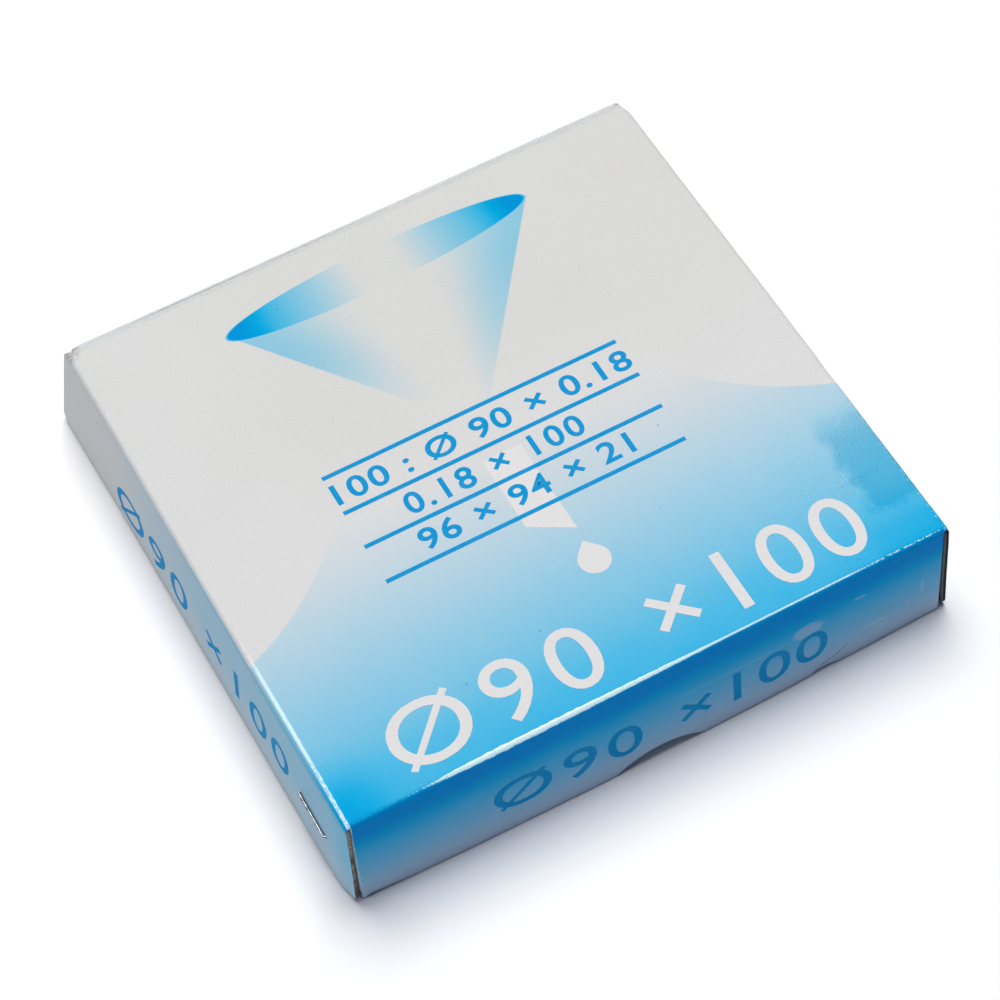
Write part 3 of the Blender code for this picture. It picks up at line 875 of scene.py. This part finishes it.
def printed_board():
    """The coated side of the lid: print, worn folds with a painted highlight, painted bluish shade on the
    front wall, painted shade along a crumple and over a patch, scuffs, scratches, soil and crushed corners.
    """
    n = Nodes("printed_coated_board", "blank")
    u, v, _ = n.split(n.place)
    height = v - FRONT_AT_Z0
    grain = n.noise(GRAIN_SCALE, 2.0, 0.8)
    density = print_density(n, u, v)
    speckle = (grain - 0.5) * (0.1 + density * (2.6 - density * 2.6))
    cloud = (n.noise(0.16, 4.0) - 0.5) * density * 0.14
    density = n.math("ADD", density + speckle, cloud, clamp=True)
    color = n.ramp_color(density, DENSITY_COLORS)
    # Painted bluish shade: the front wall's print is tinted towards the blue of the light in its shade.
    color = n.mix(n.step(v, FRONT + 0.3, FRONT - 0.8, 0.0, 0.12), color, printed(40, 135, 255))

    wear_and_highlight, shine = fold_wear_and_highlight(n, u, v)
    scuffs = scuff(n, u, v, *BIG_SCUFF)
    for centre, size in SMALL_SCUFFS:
        scuffs = n.larger(scuffs, scuff(n, u, v, centre, size) * 0.8)
    bent = (n.noise(0.12, 2.0) - 0.5) * 1.2
    thin = scratch(n, u, height - 12.0 + bent, (2.0, 6.0), (24.0, 20.0), 0.1, 0.03)
    color = n.mix(scuffs * 0.32 + thin * 0.28, color, printed(216, 218, 220))
    # Worn fold lines, lightened by wear and by a painted highlight.
    color = n.mix(wear_and_highlight, color, n.mix(n.step(density, 0.02, 0.25), WORN_WHITE_AND_HIGHLIGHT, WORN_BLUE_AND_HIGHLIGHT))

    bent = (n.noise(0.5, 3.0) - 0.5) * 1.2
    # Painted shade: a dark line along the crumpled lower edge of the front wall.
    crumple_shade = scratch(
        n, u, height - 0.7 - (u - 25.5) * 0.5 + bent, (25.3, 26.0), (32.0, 30.5), 0.16, 0.06)
    color = n.mix(crumple_shade * 0.7, color, printed(66, 72, 84))
    # Painted shade darkens the patch.
    color = n.mix(bluer_shaded_patch(n, u, v) * 0.16, color, printed(60, 120, 150))
    bent = n.noise(0.6, 4.0) * 1.6
    mark = scratch(n, u, v + 34.2 - u * 0.04 + bent, (37.5, 39.5), (46.0, 44.0), 0.16, 0.05)
    color = n.mix(mark * n.step(n.noise(0.9, 3.0), 0.42, 0.6, 0.1, 0.45), color, printed(20, 130, 170))

    rear = n.step(v, 45.25, 45.75) * n.step(n.noise(1.3, 4.0, 0.65), 0.36, 0.62, 1.0, 0.25)
    color = n.mix(rear * n.step(abs(u), 47.8, 47.2) * 0.6, color, printed(198, 205, 209))
    stain = n.step(n.noise(0.045, 5.0, 0.6), 0.35, 0.75)
    color = n.mix(stain * (0.1 - density * 0.12), color, printed(206, 203, 196))
    rough_side = n.step(u, 8.0, 40.0, 0.0, 1.3) * n.step(density, 0.12, 0.4)
    color = n.shaded(color, 0.985 + (grain - 0.5) * (0.5 + rough_side))
    aged = n.step(v, -12.0, 22.0) * n.step(u, -42.0, -14.0, 0.35, 1.0)
    color = n.mix(aged, color, AGED_TINT, "MULTIPLY")
    specks = n.step(n.scatter(0.2), 0.034, 0.014) * n.step(n.noise(0.11, 1.0), 0.44, 0.5)
    color = n.mix(specks * 0.65, color, printed(70, 84, 92))
    corner = n.step(n.length(u + (LID_HALF - 0.3), v - 46.0), 2.2, 0.7)
    crushed = corner * n.step(n.noise(2.6, 4.0), 0.42, 0.6)
    color = n.mix(crushed * 0.75, color, printed(158, 148, 132))

    peel = n.bump(n.noise(*PEEL), PEEL_DEPTH)
    fibres = n.bump(n.noise(4.0, 3.0, place=n.stretch(1.0, 2.2, 1.0)), 0.01, peel)
    wrinkle = n.bump(wear_and_highlight * n.noise(1.4, 2.0), 0.04, fibres)
    return n.finish(color, 0.4 + n.noise(0.5, 4.0) * 0.16, wrinkle,
                    Specular_IOR_Level=0.01, Coat_Weight=shine * 0.96, Coat_Roughness=0.16)


def ink(name, color, density):
    """Ink on the same coated sheet: the board's grain still shows through it."""
    n = Nodes(name)
    grain = n.noise(GRAIN_SCALE, 2.0, 0.8)
    cloud = n.noise(0.35, 4.0)
    bare = n.math("ADD", (grain - 0.5) * density, (cloud - 0.5) * (density * 0.5), clamp=True)
    color = n.shaded(n.mix(bare, color, printed(222, 222, 221)), 0.985 + (grain - 0.5) * 0.22)
    peel = n.bump(n.noise(*PEEL), PEEL_DEPTH)
    return n.finish(color, 0.4 + cloud * 0.14, peel, Specular_IOR_Level=0.01)


def grey_board(name, base, fleck):
    """Recycled board: mottled pulp with short dark and light fibres."""
    n = Nodes(name)
    pulp = n.noise(0.8, 6.0, 0.6)
    fibre = n.noise(3.0, 4.0, 0.6, 1.2, place=n.stretch(1.0, 3.2, 1.6))
    color = n.mix(n.step(pulp, 0.3, 0.72), base, scaled(base, 0.88))
    color = n.mix(n.step(fibre, 0.6, 0.72) * 0.55, color, fleck)
    color = n.mix(n.step(fibre, 0.4, 0.28) * 0.35, color, scaled(base, 1.35))
    rough = n.bump(fibre, 0.05, n.bump(pulp, 0.06))
    return n.finish(color, 0.84 + pulp * 0.12, rough, Specular_IOR_Level=0.25)


def cut_edge():
    """The torn grey-brown core of the board, mottled darker and darker towards the table, with a painted
    shadow in the gap at the front right corner.
    """
    n = Nodes("cut_board_edge")
    layers = n.noise(4.5, 4.0, 0.7, place=n.stretch(1.0, 1.0, 0.4))
    x, y, z = n.split(n.place)
    color = n.mix(n.step(layers, 0.35, 0.65), srgb(118, 108, 96), srgb(166, 154, 138))
    # Darker mottling, and darker towards the bottom.
    mottle_darker_below = n.noise(0.35, 3.0) + n.step(z, 14.0, 0.0) * 0.175
    color = n.mix(n.step(mottle_darker_below, 0.45, 0.65) * 0.7, color, srgb(58, 54, 54))
    # Painted shadow: the cut edge at the front right corner is near black, as the gap there is in shade.
    painted_corner_shadow = n.step(x, 46.8, 47.2) * n.step(y, -46.4, -46.8)
    color = n.mix(painted_corner_shadow * 0.92, color, srgb(14, 13, 18))
    return n.finish(color, 0.9, n.bump(layers, 0.06), Specular_IOR_Level=0.2)


def plain_coated_board(name, base):
    """Unprinted coated side of the same board, slightly soiled by handling."""
    n = Nodes(name)
    grain = n.noise(3.6, 2.0, 0.7)
    soil = n.noise(0.06, 5.0, 0.6)
    color = n.mix(n.step(soil, 0.42, 0.75) * 0.35, base, scaled(base, 0.82))
    color = n.shaded(color, 0.985 + (grain - 0.5) * 0.12)
    fibres = n.bump(grain, 0.012, n.bump(n.noise(*PEEL), PEEL_DEPTH))
    return n.finish(color, 0.42 + soil * 0.16, fibres,
                    Specular_IOR_Level=0.5, Coat_Weight=0.15, Coat_Roughness=0.3)


def creased_board():
    """The white coating along the hinge, cracked lengthwise by opening and closing; its blue-grey streaks
    are painted shade.
    """
    n = Nodes("creased_board")
    cracks = n.noise(1.2, 5.0, 0.7, place=n.stretch(0.5, 5.0, 5.0))
    grain = n.noise(3.6, 2.0, 0.7)
    # The blue-grey streaks are painted shade.
    color = n.mix(n.step(cracks, 0.5, 0.64), printed(222, 226, 228), printed(192, 200, 205))
    color = n.mix(n.step(cracks, 0.4, 0.32) * 0.9, color, printed(252, 253, 253))
    color = n.shaded(color, 0.985 + (grain - 0.5) * 0.14)
    return n.finish(color, 0.3 + cracks * 0.3, n.bump(cracks, 0.12),
                    Specular_IOR_Level=0.5, Coat_Weight=0.2, Coat_Roughness=0.25)


def filter_paper():
    """Soft, absorbent paper: cloudy pulp, fine criss-cross fibres and a matt surface."""
    n = Nodes("filter_paper_pulp")
    cloud = n.noise(0.28, 5.0, 0.6)
    one_way = n.noise(1.7, 3.0, 0.6, 0.8, place=n.stretch(1.0, 4.0, 1.0))
    other_way = n.noise(1.5, 3.0, 0.6, 0.8, place=n.stretch(4.0, 1.0, 1.0))
    fibres = n.larger(one_way, other_way)
    color = n.mix(n.step(cloud, 0.3, 0.7), (0.8, 0.8, 0.77), (0.765, 0.765, 0.735))
    color = n.mix(n.step(fibres, 0.56, 0.74) * 0.35, color, (0.88, 0.88, 0.86))
    rough = n.bump(fibres, 0.05, n.bump(cloud, 0.05))
    return n.finish(color, 0.95, rough, Specular_IOR_Level=0.2, Sheen_Weight=0.15, Sheen_Roughness=0.6)


def staple_wire():
    """Galvanised wire with dull patches and fine drawing marks along it."""
    n = Nodes("galvanised_wire")
    drawn = n.noise(5.0, 3.0, place=n.stretch(3.0, 0.5, 3.0))
    dull = n.noise(1.2, 4.0)
    color = n.mix(n.step(dull, 0.42, 0.7), (0.44, 0.46, 0.48), (0.24, 0.26, 0.28))
    return n.finish(color, 0.16 + dull * 0.18, n.bump(drawn, 0.01), Metallic=1.0)


def floor_material():
    n = Nodes("studio_floor")
    color = n.mix(n.noise(0.004, 2.0), (0.9, 0.9, 0.9), (0.91, 0.91, 0.91))
    return n.finish(color, 0.9, Specular_IOR_Level=0.0)


# ---- tray, hinge, staples and paper

def make_tray(tray, materials):
    """The plain tray: a floor and four walls, folded up."""
    bend = tray.half - tray.radius
    bend_end = bend + tray.radius * QUARTER
    u_lines = both_ways(spaced(
        (0.0, 42.0, 2.0), (42.0, tray.tab_start, 0.6), (tray.tab_start, bend, 0.1),
        (bend, tray.end_half, 0.1), (tray.end_half, tray.tab_turn, 0.11), (tray.tab_turn, bend_end, 0.13),
        (bend_end, 50.0, 0.7), (50.0, tray.tab_end, 1.5), (tray.tab_end, tray.side_end, 0.5)))
    lines = []
    for reach in (-tray.front, tray.rear):
        start = reach - tray.radius
        lines.append(spaced(
            (0.0, 42.0, 2.0), (42.0, start, 0.8), (start, reach, 0.12),
            (reach, start + tray.radius * QUARTER, 0.12),
            (start + tray.radius * QUARTER, reach + tray.tab_near, 0.3),
            (reach + tray.tab_near, reach + tray.tab_far, 1.5),
            (reach + tray.tab_far, start + tray.wall, 0.5)))
    v_lines = [-line for line in reversed(lines[0]) if line > 0] + lines[1]
    mesh = sheet_mesh("tray_board", tray, u_lines, v_lines)
    piece = add_piece("tray_board", mesh, materials, "tray_body", ["tray"])
    thicken(piece, BOARD, inner=1, rim=2)


def make_crease(materials):
    """The strip of board between the tray's rear wall and the lid, bent round the hinge."""
    bm = bmesh.new()
    turns, columns = 16, 90
    rows = []
    for turn in range(turns + 1):
        angle = QUARTER * turn / turns
        half = min(LID_HALF - FOLD, LID_HALF - CORNER_RELIEF + CREASE * (1 - math.cos(angle)))
        row = []
        for column in range(columns + 1):
            x = half * (2 * column / columns - 1)
            ripple = 0.03 * noise.noise(Vector((x * 0.35, angle * 1.5, 8.0))) * math.sin(2 * angle)
            y = CREASE_START + (CREASE + ripple) * math.cos(angle)
            z = HEIGHT - CREASE + (CREASE + ripple) * math.sin(angle)
            row.append(bm.verts.new(Vector((x, y, z)) * MM))
        rows.append(row)
    for lower, upper in zip(rows, rows[1:]):
        for column in range(columns):
            bm.faces.new((lower[column + 1], lower[column], upper[column], upper[column + 1])).smooth = True
    piece = add_piece("crease_hinge", mesh_of("crease_hinge", bm), materials, None, ())
    thicken(piece, BOARD, inner=1, rim=2)
    REAR * MM
    TRAY_TOP * MM
    CREASE_START * MM
    HEIGHT * MM
    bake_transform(piece)


def bend_wire(name, points, radius, material, body, node):
    """A round wire through the points, with smooth bends, standing for one CAD staple."""
    curve = bpy.data.curves.new(name, "CURVE")
    curve.dimensions = "3D"
    curve.bevel_depth = WIRE / 2 * MM
    curve.bevel_resolution = 5
    curve.use_fill_caps = True
    path = [points[0]]
    for before, corner, after in zip(points, points[1:], points[2:]):
        start = corner + (before - corner).normalized() * radius
        end = corner + (after - corner).normalized() * radius
        for step in range(7):
            share = step / 6
            path.append(start * (1 - share) ** 2 + corner * (2 * share * (1 - share)) + end * share ** 2)
    path.append(points[-1])
    spline = curve.splines.new("POLY")
    spline.points.add(len(path) - 1)
    for point, place in zip(spline.points, path):
        point.co = (*(place * MM), 1.0)
    spline.use_smooth = True
    add_piece(name, curve, [material], body, [node])


def make_staples(material):
    rows = [(f"lid_staple_{side}", "lid_body") for side in ("left", "right")]
    rows += [(f"tray_staple_{end}_{side}", "tray_body")
             for end in ("front", "rear") for side in ("left", "right")]
    for node, body in rows:
        low, high = (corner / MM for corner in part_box(node))
        side = -1 if (low + high).x < 0 else 1
        middle = (low + high) / 2
        thickness = (high.x - low.x) / 2 - WIRE / 2
        near, far = (middle + Vector((sign * side * thickness, 0, 0)) for sign in (-1, 1))
        if body == "lid_body":
            along, tilt = Vector((0, 1, 0)), Vector((0, 0, STAPLE_TILT))
        else:
            along, tilt = Vector((0, 0, 1)), Vector((0, STAPLE_TILT, 0))
        half = (high - low).dot(along) / 2 - WIRE / 2
        reach = along * half + tilt
        points = [near - reach + along * CLINCH, near - reach, far - reach,
                  far + reach, near + reach, near + reach - along * CLINCH]
        bend_wire(f"{node}_wire", points, WIRE_BEND, material, body, node)


def paper_disc(bm, centre, base):
    """One circle of paper with a gently uneven face and rim."""
    rims = []
    for face in (0, 1):
        height = base + face * SHEET
        middle = bm.verts.new(Vector((centre.x, centre.y, height)) * MM)
        rings = []
        for radius in RINGS:
            ring = []
            for index in range(DISC_SEGMENTS):
                angle = 2 * math.pi * index / DISC_SEGMENTS
                place = centre + radius * Vector((math.cos(angle), math.sin(angle), 0))
                swell = SHEET_WAVE * noise.noise(place * SHEET_WAVE_SCALE + Vector((0, 0, 5)))
                place.z = height + swell * (radius / RINGS[-1]) ** 2
                ring.append(bm.verts.new(place * MM))
            rings.append(ring)
        for index in range(DISC_SEGMENTS):
            after = (index + 1) % DISC_SEGMENTS
            first = [middle, rings[0][index], rings[0][after]]
            bm.faces.new(first if face else first[::-1]).smooth = True
            for inner, outer in zip(rings, rings[1:]):
                quad = [inner[index], outer[index], outer[after], inner[after]]
                bm.faces.new(quad if face else quad[::-1]).smooth = True
        rims.append(rings[-1])
    for index in range(DISC_SEGMENTS):
        after = (index + 1) % DISC_SEGMENTS
        bm.faces.new((rims[0][index], rims[0][after], rims[1][after], rims[1][index]))


def make_paper(material):
    nodes = sorted(name for name in frame["nodes"] if name.startswith("filter_circle"))
    nodes.sort(key=lambda name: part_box(name)[0].z)
    for node in nodes:
        low, high = (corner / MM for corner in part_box(node))
        sheets = 10 if "_to_" in node else 1
        pitch = (high.z - low.z - SHEET) / max(1, sheets - 1)
        middle = (low + high) / 2
        bm = bmesh.new()
        for sheet in range(sheets):
            slip = Vector((random.uniform(-1, 1), random.uniform(-1, 1), 0)) * SHEET_SLIP
            centre = Vector((middle.x, middle.y, 0)) + slip
            paper_disc(bm, centre, low.z + sheet * pitch)
        mesh = mesh_of(node + "_sheets", bm)
        add_piece(node + "_sheets", mesh, [material], "paper_body", [node])
        mesh.set_sharp_from_angle(angle=SHARP)


# ---- stage, light and camera

def add_floor():
    bm = bmesh.new()
    bmesh.ops.create_grid(bm, x_segments=8, y_segments=8, size=2.5)
    add_piece("studio_floor", mesh_of("studio_floor", bm), [floor_material()])


def add_area(name, place, size, power, color):
    light = bpy.data.lights.new(name, "AREA")
    light.shape = "DISK"
    light.size = size
    light.energy = power
    light.color = color
    holder = linked(name, light)
    holder.location = place
    holder.rotation_euler = (-Vector(place)).to_track_quat("-Z", "Y").to_euler()


def add_lights():
    add_area("key", (0.12, 0.38, 1.35), 1.0, 18.9, (1.0, 0.955, 0.90))
    add_area("fill", (-1.1, 0.05, 0.42), 0.7, 2.4, (0.98, 0.98, 1.0))
    add_area("overhead", (0.22, -0.02, 1.5), 0.5, 5.2, (1.0, 0.98, 0.96))
    world = bpy.data.worlds.new("studio")
    world.use_nodes = True
    background = world.node_tree.nodes["Background"]
    background.inputs["Color"].default_value = (0.31, 0.53, 0.98, 1.0)
    background.inputs["Strength"].default_value = 0.165
    bpy.context.scene.world = world
    bpy.context.scene.view_settings.view_transform = "Standard"


def add_camera():
    """Camera at the fitted place, turned by azimuth, elevation and a small roll."""
    data = bpy.data.cameras.new("camera")
    data.lens = CAMERA_LENS
    data.clip_start = 0.01
    camera = linked("camera", data)
    azimuth, elevation, roll = (math.radians(angle) for angle in CAMERA_TURN)
    back = Vector((math.sin(azimuth) * math.cos(elevation), -math.cos(azimuth) * math.cos(elevation),
                   math.sin(elevation)))
    level = Vector((0, 0, 1)).cross(back).normalized()
    upright = back.cross(level)
    right = math.cos(roll) * level + math.sin(roll) * upright
    up = back.cross(right)
    turn = Matrix((right, up, back)).transposed()
    place = back * CAMERA_DISTANCE + right * CAMERA_OFFSET[0] + up * CAMERA_OFFSET[1]
    camera.matrix_world = Matrix.Translation(place * MM) @ turn.to_4x4()
    bpy.context.scene.camera = camera


def main():
    inside = grey_board("grey_board_inside", srgb(168, 160, 148), srgb(98, 88, 78))
    edge = cut_edge()
    make_lid(LID, [printed_board(), inside, edge])
    make_print(ink("blue_ink", printed(16, 152, 213), 0.20), ink("white_print", printed(227, 226, 225), 0.0))
    make_tray(TRAY, [plain_coated_board("plain_coated_board", printed(205, 205, 203)), inside, edge])
    make_crease([creased_board(), inside, edge])
    make_staples(staple_wire())
    make_paper(filter_paper())
    add_floor()
    add_lights()
    add_camera()


main()
